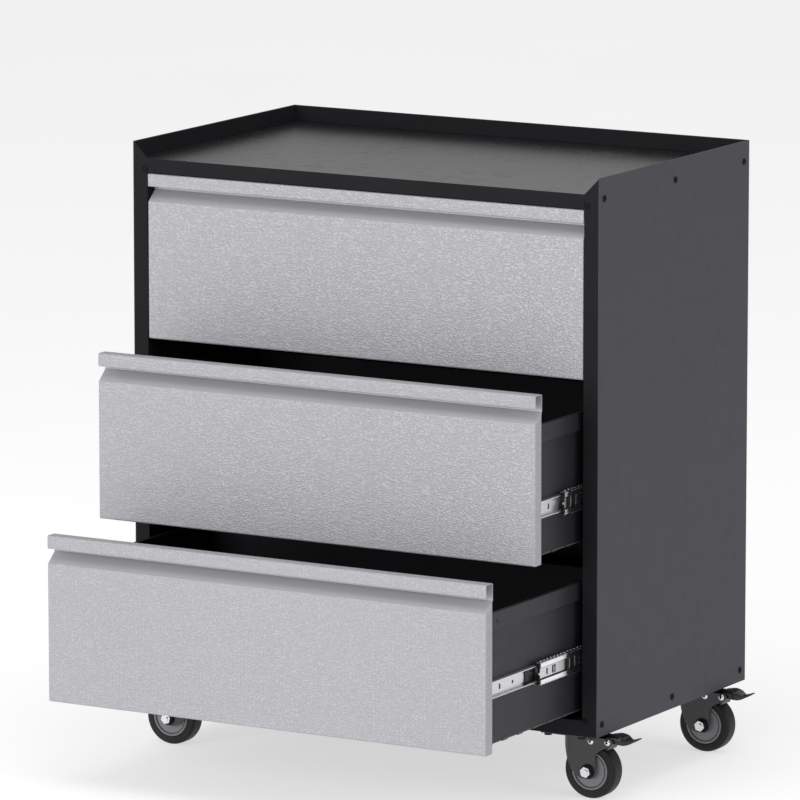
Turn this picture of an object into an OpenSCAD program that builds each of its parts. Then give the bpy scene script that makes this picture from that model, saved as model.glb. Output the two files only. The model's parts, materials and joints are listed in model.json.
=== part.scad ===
// Rolling tool chest: steel cabinet, three full-width drawers on telescopic
// slides, and four swivel casters, the right-hand pair with brakes.
// The origin is on the floor under the middle of the cabinet. The drawers face -Y.

/* [Cabinet] */
// Width over the side panels
cab_w = 711; // [560:1:900]
// Depth from the drawer faces to the back
cab_d = 421; // [400:1:600]
// Thickness of the cabinet's sheet steel
case_t = 1; // [0.8:0.1:1.2]
// Height of the tray wall above the worktop
tray_h = 22; // [21:1:50]
// Height of the apron at the worktop's front edge
apron_h = 19; // [12:0.5:40]
// Height of the rail under the drawers
rail_h = 21; // [16:0.5:50]
// Width of an upright's front face
stile_w = 22; // [18:0.5:40]
// Depth of a front upright
upright_d = 38; // [30:1:50]
// Thickness of an upright's steel
upright_t = 1.2; // [1:0.1:2]
// Depth of the folded flanges on the worktop and the base
flange_d = 20; // [18:0.5:30]
// Height above the worktop where the folded hems of the walls end
hem_rise = 4; // [3:0.5:10]

/* [Drawers] */
// Height of a drawer front
front_h = 224; // [200:1:280]
// Depth of a drawer front, front to back
front_d = 18; // [14:0.5:24]
// Gap above and below a drawer front
front_gap = 1.5; // [1:0.25:4]
// Gap at each end of a drawer front
end_gap = 1; // [0.5:0.25:2.5]
// Height of the handle lip
lip_h = 17.8; // [14:0.1:22]
// Drop from the top of the lip to the top of the face
face_drop = 37.7; // [34:0.1:44]
// Drop from the top of the lip to the deep end of the finger slope
slope_drop = 23; // [20:0.5:28]
// Thickness of the drawer's sheet steel
drawer_t = 1; // [0.8:0.1:1.2]
// Length of a drawer box
box_l = 375; // [330:1:375]
// Drop from the top of the lip to the rim of the box
rim_drop = 42.5; // [38:0.5:60]
// Height of the folded rim band
band_h = 23.5; // [15:0.5:30]
// How far the rim band stands out
band_out = 5; // [3:0.5:7]
// Rise of the drawer floor above the front's lower edge
floor_rise = 9.5; // [7:0.5:14]
// Spacing of the clinch tabs under the floor
tab_pitch = 40; // [25:1:60]
// How far the middle drawer stands open
open_middle = 127; // [0:1:360]
// How far the bottom drawer stands open
open_bottom = 255; // [0:1:360]

/* [Slides] */
// Length of a slide
slide_l = 380; // [300:1:380]
// Space from the drawer side to the upright
slide_w = 13.2; // [12.7:0.1:16]
// How far a slide laps onto its rear upright
slide_lap = 17.5; // [12:0.5:30]
// Height of the fixed outer member
outer_h = 36; // [34:0.5:40]
// Height of the intermediate member
carrier_h = 29; // [27:0.5:30]
// Height of the drawer member
runner_h = 22; // [18:0.5:23]
// Thickness of a slide member's steel
slide_t = 1.2; // [1:0.1:1.4]
// Drop from the lip to the slide's middle, top and middle drawers
slide_drop = 154; // [130:1:170]
// The same on the bottom drawer
slide_drop_bottom = 143; // [130:1:170]

/* [Casters] */
// Height from the floor to the cabinet's underside
caster_h = 92; // [90:1:111]
// Diameter of a wheel
wheel_d = 76; // [60:1:76]
// Width of the tread
wheel_w = 25; // [18:0.5:26]
// Diameter of the wheel's plastic hub
hub_d = 53.6; // [40:0.2:54]
// Distance from the swivel axis to the wheel's axle
trail = 24; // [20:0.5:28]
// Inset of the swivel axis from the side
caster_in_x = 54.7; // [50:0.1:90]
// Inset of the swivel axis from the front and the back
caster_in_y = 49.1; // [40:0.1:90]
// Diameter of the axle bolt
axle_d = 8; // [6:0.5:10]
// Thickness of the fork's steel
fork_t = 2.5; // [2:0.25:3]
// Side clearance of the wheel in its fork
fork_gap = 2.2; // [1:0.1:4]
// Radial clearance of a turning fit
fit = 0.05; // [0.02:0.01:0.1]

/* [Screws] */
// Diameter of a panel screw
screw_d = 4; // [3:0.5:5]
// Diameter of its head
screw_head_d = 9; // [7:0.5:11]
// Height of the row of screws above the underside
screw_low = 16; // [12:0.5:18]
// Drop of the top row of screws below the worktop
screw_high = 5.7; // [5:0.1:15]

/* [Hidden] */

$fn = 48;
eps = 0.01;

// Levels and faces of the cabinet
TOP = 0;
MIDDLE = 1;
BOTTOM = 2;
z_base = caster_h;
side_h = tray_h + apron_h + 3 * front_h + 4 * front_gap + rail_h;
z_top = z_base + side_h;
z_work = z_top - tray_h;
y_front = -cab_d / 2;
y_back = cab_d / 2;
x_panel = cab_w / 2 - case_t;
x_open = cab_w / 2 - stile_w;
upright_l = z_work - case_t - (z_base + case_t);

// Drawers
front_w = 2 * (x_open - end_gap);
box_w = 2 * (x_open - slide_w);
rim_z = -rim_drop;
floor_z = -front_h + floor_rise;
openings = [0, open_middle, open_bottom];
slide_drops = [slide_drop, slide_drop, slide_drop_bottom];
lip_r = 2.5;
floor_flange = 12;
tab_first = 12;
tab_l = 14;
tab_w = 3;
tab_drop = 2.5;
tab_in = 2;
back_lower = 10;
back_lip = 8;

// Slides: distances outward from the drawer side
slide_y = y_front + front_d + 1.5;
race_gap = 0.8;
outer_in = 4.6;
carrier_in = 3;
carrier_out = slide_w - slide_t - race_gap;
web_in = 7;
runner_out = web_in - race_gap;
rear_d = y_back - case_t - (slide_y + slide_l) + slide_lap;
upright_hole = 13;
hole_pitch = 70;
carrier_slot = 22;
carrier_window = 40;
runner_slot = 36;

// Casters, measured from the axle
wheel_r = wheel_d / 2;
hub_r = hub_d / 2;
plate_l = 88;
plate_w = 64;
plate_t = 2.5;
bolt_x = 25;
bolt_y = 36;
bolt_d = 6;
bolt_head_d = 11.4;
bolt_head_h = 3.5;
bolt_nut_h = 5;
bolt_end = 8;
race_h = 5;
race_r = 17;
race_play = 0.3;
king_r = 5;
king_head_r = 8;
king_head_h = 2;
fork_in = wheel_w / 2 + fork_gap;
fork_out = fork_in + fork_t;
crown_z = caster_h - plate_t - race_h - race_play - wheel_r;
hub_w = wheel_w + 2 * fork_gap - 1;
washer_r = 8;
washer_t = 1.6;
nut_af = 13;
nut_h = 6.5;
bolt_cap_h = 5.3;
thread_end = 2;
pedal_x = 29;
pedal_z = 41.5;
pedal_pin_r = 2.5;
pedal_w = 2 * (fork_in - 1);
leg_rivet_x = 4;
leg_rivet_z = 40.8;
head_r = pedal_pin_r + 1.8;
head_h = 2;

// Brake cam: a pin that meets the tyre when the pedal has turned by cam_turn
cam_turn = 20;
cam_r = 1.5;
cam_gap = 0.35;
cam_l = norm([pedal_x, pedal_z]) - wheel_r - cam_r - cam_gap;
cam_a = atan2(-pedal_z, -pedal_x) + cam_turn;

// Screw rows: distances from the front and the back, and from the stile's outer edge
screw_in = 14.5;
stile_screw_in = 18;
screw_rows = [z_base + screw_low, z_work - screw_high];
screw_cols = [y_front + screw_in, 0, y_back - screw_in];
back_cols = [-x_panel + 30, 0, x_panel - 30];
stile_rows = [z_base + 19.7, z_work - 14.7];
screw_l = 5;
screw_head_h = 2.2;

function lip_z(level) = z_base + rail_h + front_gap + (BOTTOM - level) * (front_h + front_gap) + front_h;

// Points of an arc from angle a to angle b about a centre
function arc(c, r, a, b, n = 5) =
    [for (i = [0:n]) c + r * [cos(a + (b - a) * i / n), sin(a + (b - a) * i / n)]];

module on_side(side) {
    if (side > 0) children();
    else mirror([1, 0, 0]) children();
}

// A box between two corners
module span(low, high) {
    translate(low) cube(high - low);
}

// ---- Cabinet ----

// Holes for the screws along the top and bottom of a side
module side_screw_holes() {
    for (y = screw_cols, z = screw_rows)
        translate([x_open, y, z]) rotate([0, 90, 0])
            cylinder(d = screw_d + 0.2, h = stile_w + 1);
}

module stile_screw_holes() {
    for (z = stile_rows)
        translate([cab_w / 2 - stile_screw_in, y_front - 1, z]) rotate([-90, 0, 0])
            cylinder(d = screw_d + 0.2, h = 5);
}

module back_screw_holes() {
    for (x = back_cols, z = screw_rows)
        translate([x, y_back + 1, z]) rotate([90, 0, 0])
            cylinder(d = screw_d + 0.2, h = 6);
}

module side_panel(side) {
    hem = [x_panel - upright_t, y_front + upright_t, z_work + hem_rise];
    color([0.27, 0.27, 0.29]) on_side(side) difference() {
        union() {
            span([x_panel, y_front, z_base], [cab_w / 2, y_back, z_top]);
            span(hem, [x_panel + eps, y_back - case_t, z_top]);
        }
        side_screw_holes();
    }
}

module back_panel() {
    color([0.24, 0.24, 0.26]) difference() {
        union() {
            span([-x_panel, y_back - case_t, z_base], [x_panel, y_back, z_top]);
            span([upright_t - x_panel, y_back - case_t - upright_t, z_work + hem_rise],
                [x_panel - upright_t, y_back - case_t + eps, z_top]);
        }
        back_screw_holes();
    }
}

// Side and back flanges shared by the worktop and the base, from z_low to z_high
module edge_flanges(z_low, z_high) {
    y_low = y_front + upright_d + 2;
    y_high = y_back - case_t - rear_d - 1;
    for (side = [-1, 1]) on_side(side)
        span([x_panel - upright_t, y_low, z_low], [x_panel, y_high, z_high]);
    span([-x_open, y_back - case_t - upright_t, z_low], [x_open, y_back - case_t, z_high]);
}

module worktop() {
    z_under = z_work - case_t;
    color([0.3, 0.3, 0.31]) difference() {
        union() {
            span([-x_panel, y_front + upright_t, z_under], [x_panel, y_back - case_t, z_work]);
            span([-x_open, y_front, z_under], [x_open, y_front + upright_t + eps, z_work]);
            span([-x_open, y_front, z_work - apron_h], [x_open, y_front + case_t, z_work]);
            span([-x_open, y_front, z_work - apron_h],
                [x_open, y_front + front_d, z_work - apron_h + case_t]);
            edge_flanges(z_under - flange_d, z_under + eps);
        }
        for (side = [-1, 1]) on_side(side) side_screw_holes();
        back_screw_holes();
    }
}

module base_pan() {
    color([0.13, 0.13, 0.14]) difference() {
        union() {
            span([-x_panel, y_front, z_base], [x_panel, y_back - case_t, z_base + case_t]);
            span([-x_open, y_front, z_base], [x_open, y_front + case_t, z_base + rail_h]);
            span([-x_open, y_front, z_base + rail_h - case_t],
                [x_open, y_front + front_d, z_base + rail_h]);
            edge_flanges(z_base + case_t - eps, z_base + case_t + flange_d);
        }
        for (side = [-1, 1]) on_side(side) side_screw_holes();
        back_screw_holes();
        caster_places() plate_bolt_places() translate([0, 0, -1]) cylinder(d = bolt_d + 0.4, h = 4);
    }
}

// A channel section of a given depth that opens towards the middle of the cabinet
module upright_channel(depth) {
    z_low = z_base + case_t;
    z_high = z_low + upright_l;
    span([x_open, y_front, z_low], [x_panel, y_front + upright_t, z_high]);
    span([x_open, y_front, z_low], [x_open + upright_t, y_front + depth, z_high]);
    span([x_panel - upright_t, y_front, z_low], [x_panel, y_front + depth, z_high]);
}

module front_upright(side) {
    mitre = [[x_open, z_work - case_t - eps], [x_panel, z_work - case_t - eps],
        [x_panel, z_top - case_t], [x_open, z_work]];
    color([0.12, 0.12, 0.13]) on_side(side) difference() {
        union() {
            upright_channel(upright_d);
            translate([0, y_front + upright_t, 0]) rotate([90, 0, 0])
                linear_extrude(upright_t) polygon(mitre);
        }
        side_screw_holes();
        stile_screw_holes();
    }
}

module rear_upright(side) {
    color([0.12, 0.12, 0.13]) on_side(side) difference() {
        translate([0, -case_t, 0]) mirror([0, 1, 0]) upright_channel(rear_d);
        side_screw_holes();
        back_screw_holes();
    }
}

// A pan-head screw pointing along +Z, with its head below z = 0
module panel_screw() {
    cylinder(d = screw_d, h = screw_l);
    difference() {
        intersection() {
            translate([0, 0, -screw_head_h]) cylinder(d = screw_head_d, h = screw_head_h);
            translate([0, 0, screw_head_d * 0.9 - screw_head_h]) sphere(r = screw_head_d * 0.9);
        }
        for (turn = [0, 90]) rotate([0, 0, turn])
            translate([-2.2, -0.5, -screw_head_h - 1]) cube([4.4, 1, 2.2]);
    }
}

module panel_screws() {
    color([0.08, 0.08, 0.09]) for (side = [-1, 1]) on_side(side) {
        for (y = screw_cols, z = screw_rows)
            translate([cab_w / 2, y, z]) rotate([0, -90, 0]) panel_screw();
        for (z = stile_rows)
            translate([cab_w / 2 - stile_screw_in, y_front, z]) rotate([-90, 0, 0]) panel_screw();
    }
    color([0.08, 0.08, 0.09]) for (x = back_cols, z = screw_rows)
        translate([x, y_back, z]) rotate([90, 0, 0]) panel_screw();
}

// ---- Drawers ----

module drawer_place(level) {
    translate([0, y_front - openings[level], lip_z(level)]) children();
}

// Section of the pressed front, y back and z up from the top of the lip
module front_section() {
    t = drawer_t;
    hem = 4;
    outer = concat([[front_d, 0]], arc([lip_r, -lip_r], lip_r, 90, 180), [[0, -lip_h]],
        [[hem, -lip_h], [hem, t - lip_h], [t, t - lip_h]],
        arc([lip_r, -lip_r], lip_r - t, 180, 90), [[front_d - t, -t]],
        [[front_d - t, -slope_drop]], [[t / 2, -face_drop + t]], [[0, -face_drop - 1]],
        arc([lip_r, lip_r - front_h], lip_r, 180, 270), [[front_d, -front_h]],
        [[front_d, t - front_h]], arc([lip_r, lip_r - front_h], lip_r - t, 270, 180),
        [[t, -face_drop - 1]], [[front_d, -slope_drop - t]]);
    polygon(outer);
}

module drawer_front(level) {
    t = drawer_t;
    cheek = [[0, -face_drop - 1], [0, lip_r - front_h], [lip_r, -front_h], [front_d, -front_h],
        [front_d, -slope_drop - t], [t, -face_drop]];
    color([0.72, 0.72, 0.74]) drawer_place(level) {
        translate([-front_w / 2, 0, 0]) rotate([90, 0, 90]) linear_extrude(front_w) front_section();
        for (x = [-front_w / 2, front_w / 2 - t])
            translate([x, 0, 0]) rotate([90, 0, 90]) linear_extrude(t) polygon(cheek);
        span([-box_w / 2, front_d - t, floor_z], [box_w / 2, front_d, -slope_drop - t / 2]);
    }
}

module drawer_side(level, side) {
    t = drawer_t;
    x = box_w / 2;
    color([0.25, 0.25, 0.27]) on_side(side) drawer_place(level) {
        span([x - t, front_d, floor_z], [x, front_d + box_l, rim_z]);
        span([x - t, front_d, rim_z - t], [x + band_out, front_d + box_l, rim_z]);
        span([x + band_out - t, front_d, rim_z - band_h], [x + band_out, front_d + box_l, rim_z]);
        span([x - floor_flange, front_d, floor_z], [x, front_d + box_l, floor_z + t]);
    }
}

module drawer_floor(level) {
    t = drawer_t;
    x = box_w / 2;
    y_end = front_d + box_l;
    tabs = floor((box_l - tab_first - tab_l) / tab_pitch);
    color([0.18, 0.18, 0.2]) drawer_place(level) {
        span([-x, front_d, floor_z - t], [x, y_end + t, floor_z]);
        span([-x, y_end, floor_z - t], [x, y_end + t, rim_z - back_lower]);
        span([-x, y_end, rim_z - back_lower - t], [x, y_end + back_lip, rim_z - back_lower]);
        for (side = [-1, 1], i = [0:tabs]) on_side(side)
            translate([x - tab_in - tab_w, front_d + tab_first + i * tab_pitch, floor_z - t - tab_drop])
                cube([tab_w, tab_l, tab_drop + eps]);
    }
}

// ---- Slides ----

// Places a slide's parts: x outward from the drawer side, z from the slide's middle
module slide_place(level, side, shift) {
    on_side(side)
        translate([box_w / 2, slide_y - shift, lip_z(level) - slide_drops[level]]) children();
}

// Two equal flanges, one above and one below
module flange_pair(h, x_low, x_high) {
    for (z = [-h / 2, h / 2 - slide_t])
        translate([x_low, 0, z]) cube([x_high - x_low, slide_l, slide_t]);
}

module slide_web(h, x) {
    translate([x, 0, -h / 2]) cube([slide_t, slide_l, h]);
}

// An upright slot through a web at x: its middle is y behind the slide's front end
module web_slot(x, y, w, h) {
    translate([x - 1, y, 0]) rotate([90, 0, 90]) linear_extrude(slide_t + 2) union() {
        square([w, h - w], center = true);
        for (end = [-1, 1]) translate([0, end * (h - w) / 2]) circle(d = w);
    }
}

module web_hole(x, y, d) {
    translate([x - 1, y, 0]) rotate([0, 90, 0]) cylinder(d = d, h = slide_t + 2);
}

module slide_outer(level, side) {
    x = slide_w - slide_t;
    color([0.62, 0.63, 0.65]) slide_place(level, side, 0) difference() {
        union() {
            flange_pair(outer_h, outer_in, slide_w);
            slide_web(outer_h, x);
        }
        for (y = [upright_hole, slide_l - upright_hole]) web_slot(x, y, 4.6, 9);
        for (y = [hole_pitch:hole_pitch:slide_l - hole_pitch]) web_hole(x, y, 5);
    }
}

module slide_carrier(level, side) {
    color([0.7, 0.71, 0.73]) slide_place(level, side, openings[level] / 2) difference() {
        union() {
            flange_pair(carrier_h, carrier_in, carrier_out);
            slide_web(carrier_h, web_in);
        }
        for (y = [carrier_slot, slide_l - carrier_slot]) web_slot(web_in, y, 4, 9);
        for (y = [carrier_window, slide_l - carrier_window]) web_slot(web_in, y, 8, 10);
    }
}

module slide_runner(level, side) {
    color([0.75, 0.76, 0.78]) slide_place(level, side, openings[level]) difference() {
        union() {
            flange_pair(runner_h, 0, runner_out);
            slide_web(runner_h, 0);
        }
        for (y = [runner_slot, slide_l - runner_slot]) web_slot(0, y, 4, 8);
        for (y = [hole_pitch, 2 * hole_pitch, slide_l - hole_pitch]) web_hole(0, y, 4.6);
    }
}

// ---- Casters ----

// Swivel axes of all four casters, at the cabinet's underside
module caster_places() {
    for (x = [-1, 1], y = [-1, 1])
        translate([x * (cab_w / 2 - caster_in_x), y * (cab_d / 2 - caster_in_y), z_base]) children();
}

// One caster's frame: the axle's centre is the origin and the swivel axis is at x = -trail
module caster_place(side, end) {
    on_side(side)
        translate([cab_w / 2 - caster_in_x + trail, end * (cab_d / 2 - caster_in_y), wheel_r])
            children();
}

module plate_bolt_places() {
    for (x = [-bolt_x, bolt_x], y = [-bolt_y, bolt_y]) translate([x, y, 0]) children();
}

module caster_plates() {
    king_l = plate_t + race_h + 2 * race_play + fork_t;
    color([0.6, 0.61, 0.63]) caster_places() difference() {
        union() {
            translate([-plate_w / 2, -plate_l / 2, -plate_t]) cube([plate_w, plate_l, plate_t]);
            translate([0, 0, -plate_t - race_h]) cylinder(r1 = race_r - 2, r2 = race_r, h = race_h + eps);
            translate([0, 0, -king_l]) cylinder(r = king_r, h = king_l - eps);
            translate([0, 0, -king_l - king_head_h]) cylinder(r = king_head_r, h = king_head_h);
        }
        plate_bolt_places() translate([0, 0, -plate_t - 1])
            cylinder(d = bolt_d + 0.4, h = plate_t + 2);
    }
}

module caster_bolts() {
    color([0.66, 0.67, 0.69]) caster_places() plate_bolt_places() {
        translate([0, 0, -plate_t]) cylinder(d = bolt_d, h = plate_t + case_t + bolt_end);
        translate([0, 0, -plate_t - bolt_head_h]) cylinder(d = bolt_head_d, h = bolt_head_h, $fn = 6);
        translate([0, 0, case_t]) cylinder(d = bolt_head_d, h = bolt_nut_h, $fn = 6);
    }
}

// Side outline of a fork: x along the trail, z up from the axle
module fork_outline(brake) {
    toe = brake ? [[11, 21], [12.5, 24.5], [15.5, 27.5], [21, 31], [29, 34.5], [34, 36], [36.8, 39.5],
            [36.8, 43], [34, crown_z]]
        : [[11, 14], [16, 24], [17, crown_z]];
    polygon(concat([[-trail - fork_out, crown_z], [-38, 32], [-33, 17], [-25, 0]],
        arc([-6, 8], 18.5, 215, 262), arc([1, 0], 10.5, 270, 350), toe));
}

module fork(side, end, brake) {
    reach = 60;
    color([0.16, 0.16, 0.17]) caster_place(side, end) difference() {
        intersection() {
            translate([0, 0, -wheel_r]) linear_extrude(crown_z + wheel_r) union() {
                translate([-trail, 0]) circle(r = fork_out);
                translate([-trail, -fork_out]) square([reach + trail, 2 * fork_out]);
            }
            translate([0, fork_out + 1, 0]) rotate([90, 0, 0])
                linear_extrude(2 * fork_out + 2) fork_outline(brake);
        }
        translate([0, 0, -wheel_r - 1]) linear_extrude(crown_z + wheel_r - fork_t + 1) union() {
            translate([-trail, 0]) circle(r = fork_in);
            translate([-trail, -fork_in]) square([reach + trail + 1, 2 * fork_in]);
        }
        translate([8, -fork_in, crown_z - fork_t - 1]) cube([reach, 2 * fork_in, fork_t + 2]);
        translate([-trail, 0, crown_z - fork_t - 1]) cylinder(r = king_r + fit, h = fork_t + 2);
        cross_hole(0, 0, axle_d / 2 + 0.1);
        if (brake) {
            cross_hole(pedal_x, pedal_z, pedal_pin_r + 0.1);
            cross_hole(leg_rivet_x, leg_rivet_z, pedal_pin_r + 0.1);
        }
    }
}

module cross_hole(x, z, r) {
    translate([x, fork_out + 1, z]) rotate([90, 0, 0]) cylinder(r = r, h = 2 * fork_out + 2);
}

module rivet_head(x, z) {
    dome_r = head_r * 1.4;
    translate([x, fork_out, z]) rotate([-90, 0, 0]) intersection() {
        cylinder(r = head_r, h = head_h);
        translate([0, 0, head_h - dome_r]) sphere(r = dome_r);
    }
}

// A rivet across the fork with a domed head at each end
module cross_rivet(x, z) {
    translate([x, fork_out, z]) rotate([90, 0, 0]) cylinder(r = pedal_pin_r, h = 2 * fork_out);
    for (face = [0, 1]) mirror([0, face, 0]) rivet_head(x, z);
}

// A short rivet through each leg, clear of the wheel
module leg_rivets(x, z) {
    for (face = [0, 1]) mirror([0, face, 0]) {
        translate([x, fork_out, z]) rotate([90, 0, 0]) cylinder(r = pedal_pin_r, h = fork_t + 0.8);
        rivet_head(x, z);
    }
}

module axle(side, end, brake) {
    color([0.78, 0.79, 0.8]) caster_place(side, end) {
        translate([0, fork_out, 0]) rotate([90, 0, 0])
            cylinder(d = axle_d, h = 2 * fork_out + washer_t + nut_h + thread_end);
        translate([0, -fork_out, 0]) rotate([90, 0, 0]) cylinder(r = washer_r, h = washer_t);
        translate([0, -fork_out - washer_t, 0]) rotate([90, 15, 0])
            cylinder(d = nut_af / cos(30), h = nut_h, $fn = 6);
        translate([0, fork_out + bolt_cap_h, 0]) rotate([90, 0, 0])
            cylinder(d = nut_af / cos(30), h = bolt_cap_h, $fn = 6);
        if (brake) {
            cross_rivet(pedal_x, pedal_z);
            leg_rivets(leg_rivet_x, leg_rivet_z);
        }
    }
}

module tyre(side, end) {
    shoulder = 5;
    r = wheel_r - shoulder;
    w = wheel_w / 2;
    section = concat([[hub_r, -w + 1], [hub_r + 2, -w]], arc([r, shoulder - w], shoulder, -90, 0),
        arc([r, w - shoulder], shoulder, 0, 90), [[hub_r + 2, w], [hub_r, w - 1]]);
    color([0.07, 0.07, 0.07]) caster_place(side, end) rotate([90, 0, 0])
        rotate_extrude($fn = 96) polygon(section);
}

// Plastic wheel centre: a thick disc with a raised ring near its rim, and a long boss
module hub(side, end) {
    bore = axle_d / 2 + fit;
    w = wheel_w / 2;
    half = [[bore, hub_w / 2], [9, hub_w / 2], [10, w - 3.5], [hub_r - 5.5, w - 2.5],
        [hub_r - 5, w - 0.6], [hub_r - 3.5, w], [hub_r - 1.5, w], [hub_r - 0.8, w - 1],
        [hub_r, w - 1]];
    low = [for (i = [len(half) - 1:-1:0]) [half[i][0], -half[i][1]]];
    color([0.4, 0.4, 0.42]) caster_place(side, end) rotate([90, 0, 0])
        rotate_extrude($fn = 96) polygon(concat(half, low));
}

// Side outline of the brake pedal, measured from its pivot
module pedal_outline() {
    polygon([[-5, 3], [-3, 8], [8, 9.3], [17.5, 7.8], [22, 5], [26, 4], [30, 4.4], [35, 6],
        [40, 8], [41.6, 7], [38, 4.2], [33, 1.8], [28, -0.8], [21, -2.6], [8, -2], [2, -1]]);
}

module brake_pedal(side, end) {
    color([0.1, 0.1, 0.11]) caster_place(side, end) translate([pedal_x, 0, pedal_z])
        difference() {
            union() {
                translate([0, pedal_w / 2, 0]) rotate([90, 0, 0]) intersection() {
                    linear_extrude(pedal_w) pedal_outline();
                    rotate([-90, 0, 0]) translate([0, -pedal_w / 2, -20])
                        linear_extrude(40) pedal_plan();
                }
                translate([0, pedal_w / 2, 0]) rotate([90, 0, 0]) cylinder(r = 5, h = pedal_w);
                translate([0, wheel_w / 2, 0]) rotate([90, 0, 0]) linear_extrude(wheel_w) cam();
            }
            translate([0, pedal_w, 0]) rotate([90, 0, 0])
                cylinder(r = pedal_pin_r + fit, h = 2 * pedal_w);
        }
}

module cam() {
    rotate(cam_a) union() {
        translate([0, -cam_r]) square([cam_l, 2 * cam_r]);
        translate([cam_l, 0]) circle(r = cam_r);
    }
}

// Plan of the pedal: parallel in the fork, then a leaf that narrows to the tip
module pedal_plan() {
    half = pedal_w / 2;
    edge = [[-6, 1], [15, 1], [21, 0.88], [26, 0.62], [31, 0.42], [36, 0.32], [42, 0.18]];
    polygon(concat([for (p = edge) [p[0], -half * p[1]]],
        [for (i = [len(edge) - 1:-1:0]) [edge[i][0], half * edge[i][1]]]));
}

side_panel(-1);  // left_side_panel
side_panel(1);  // right_side_panel
back_panel();
worktop();
base_pan();
front_upright(-1);  // left_front_upright
front_upright(1);  // right_front_upright
rear_upright(-1);  // left_rear_upright
rear_upright(1);  // right_rear_upright
panel_screws();
caster_plates();
caster_bolts();
drawer_front(TOP);  // top_drawer_front
drawer_side(TOP, -1);  // top_drawer_left_side
drawer_side(TOP, 1);  // top_drawer_right_side
drawer_floor(TOP);  // top_drawer_floor
drawer_front(MIDDLE);  // middle_drawer_front
drawer_side(MIDDLE, -1);  // middle_drawer_left_side
drawer_side(MIDDLE, 1);  // middle_drawer_right_side
drawer_floor(MIDDLE);  // middle_drawer_floor
drawer_front(BOTTOM);  // bottom_drawer_front
drawer_side(BOTTOM, -1);  // bottom_drawer_left_side
drawer_side(BOTTOM, 1);  // bottom_drawer_right_side
drawer_floor(BOTTOM);  // bottom_drawer_floor
slide_outer(TOP, -1);  // top_left_slide_outer
slide_carrier(TOP, -1);  // top_left_slide_carrier
slide_runner(TOP, -1);  // top_left_slide_runner
slide_outer(TOP, 1);  // top_right_slide_outer
slide_carrier(TOP, 1);  // top_right_slide_carrier
slide_runner(TOP, 1);  // top_right_slide_runner
slide_outer(MIDDLE, -1);  // middle_left_slide_outer
slide_carrier(MIDDLE, -1);  // middle_left_slide_carrier
slide_runner(MIDDLE, -1);  // middle_left_slide_runner
slide_outer(MIDDLE, 1);  // middle_right_slide_outer
slide_carrier(MIDDLE, 1);  // middle_right_slide_carrier
slide_runner(MIDDLE, 1);  // middle_right_slide_runner
slide_outer(BOTTOM, -1);  // bottom_left_slide_outer
slide_carrier(BOTTOM, -1);  // bottom_left_slide_carrier
slide_runner(BOTTOM, -1);  // bottom_left_slide_runner
slide_outer(BOTTOM, 1);  // bottom_right_slide_outer
slide_carrier(BOTTOM, 1);  // bottom_right_slide_carrier
slide_runner(BOTTOM, 1);  // bottom_right_slide_runner
fork(1, -1, true);  // front_right_fork
axle(1, -1, true);  // front_right_axle
tyre(1, -1);  // front_right_tyre
hub(1, -1);  // front_right_hub
brake_pedal(1, -1);  // front_right_brake_pedal
fork(1, 1, true);  // rear_right_fork
axle(1, 1, true);  // rear_right_axle
tyre(1, 1);  // rear_right_tyre
hub(1, 1);  // rear_right_hub
brake_pedal(1, 1);  // rear_right_brake_pedal
fork(-1, -1, false);  // front_left_fork
axle(-1, -1, false);  // front_left_axle
tyre(-1, -1);  // front_left_tyre
hub(-1, -1);  // front_left_hub
fork(-1, 1, false);  // rear_left_fork
axle(-1, 1, false);  // rear_left_axle
tyre(-1, 1);  // rear_left_tyre
hub(-1, 1);  // rear_left_hub
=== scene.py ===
import json
import math

import bmesh
import bpy
from mathutils import Matrix, Vector


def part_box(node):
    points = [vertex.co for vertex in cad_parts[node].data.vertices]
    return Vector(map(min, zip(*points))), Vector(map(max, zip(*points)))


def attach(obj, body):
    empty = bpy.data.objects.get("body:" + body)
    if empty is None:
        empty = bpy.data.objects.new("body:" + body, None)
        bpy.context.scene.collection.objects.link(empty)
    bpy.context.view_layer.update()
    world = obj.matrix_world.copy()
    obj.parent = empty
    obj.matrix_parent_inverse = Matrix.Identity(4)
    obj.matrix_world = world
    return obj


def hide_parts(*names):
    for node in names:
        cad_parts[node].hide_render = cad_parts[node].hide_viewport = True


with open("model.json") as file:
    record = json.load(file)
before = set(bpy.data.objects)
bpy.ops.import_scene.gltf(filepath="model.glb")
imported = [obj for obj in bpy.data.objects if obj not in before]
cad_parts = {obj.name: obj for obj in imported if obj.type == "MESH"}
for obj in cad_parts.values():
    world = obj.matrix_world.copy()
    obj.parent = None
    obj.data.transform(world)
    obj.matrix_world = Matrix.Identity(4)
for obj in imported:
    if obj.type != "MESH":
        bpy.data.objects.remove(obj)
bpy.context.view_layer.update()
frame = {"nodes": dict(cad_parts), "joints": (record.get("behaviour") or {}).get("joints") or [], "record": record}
nodes = frame["nodes"]
mm = 0.001
sides = {"left": -1, "right": 1}
drawers = ["top", "middle", "bottom"]
casters = ["front_right", "rear_right", "front_left", "rear_left"]
print("frame loaded:", len(nodes), "nodes")


class Wire:  # a node's output that takes part in plain arithmetic
    def __init__(self, paint, socket):
        self.paint = paint
        self.socket = socket

    def maths(self, operation, other, flipped=False):
        pair = [other, self] if flipped else [self, other]
        return self.paint.node("Math", {"operation": operation}, dict(enumerate(pair)))

    def __add__(self, other):
        return self.maths("ADD", other)

    def __radd__(self, other):
        return self.maths("ADD", other, True)

    def __sub__(self, other):
        return self.maths("SUBTRACT", other)

    def __rsub__(self, other):
        return self.maths("SUBTRACT", other, True)

    def __mul__(self, other):
        return self.maths("MULTIPLY", other)

    def __rmul__(self, other):
        return self.maths("MULTIPLY", other, True)

    def __abs__(self):
        return self.maths("ABSOLUTE", 0)


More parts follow.
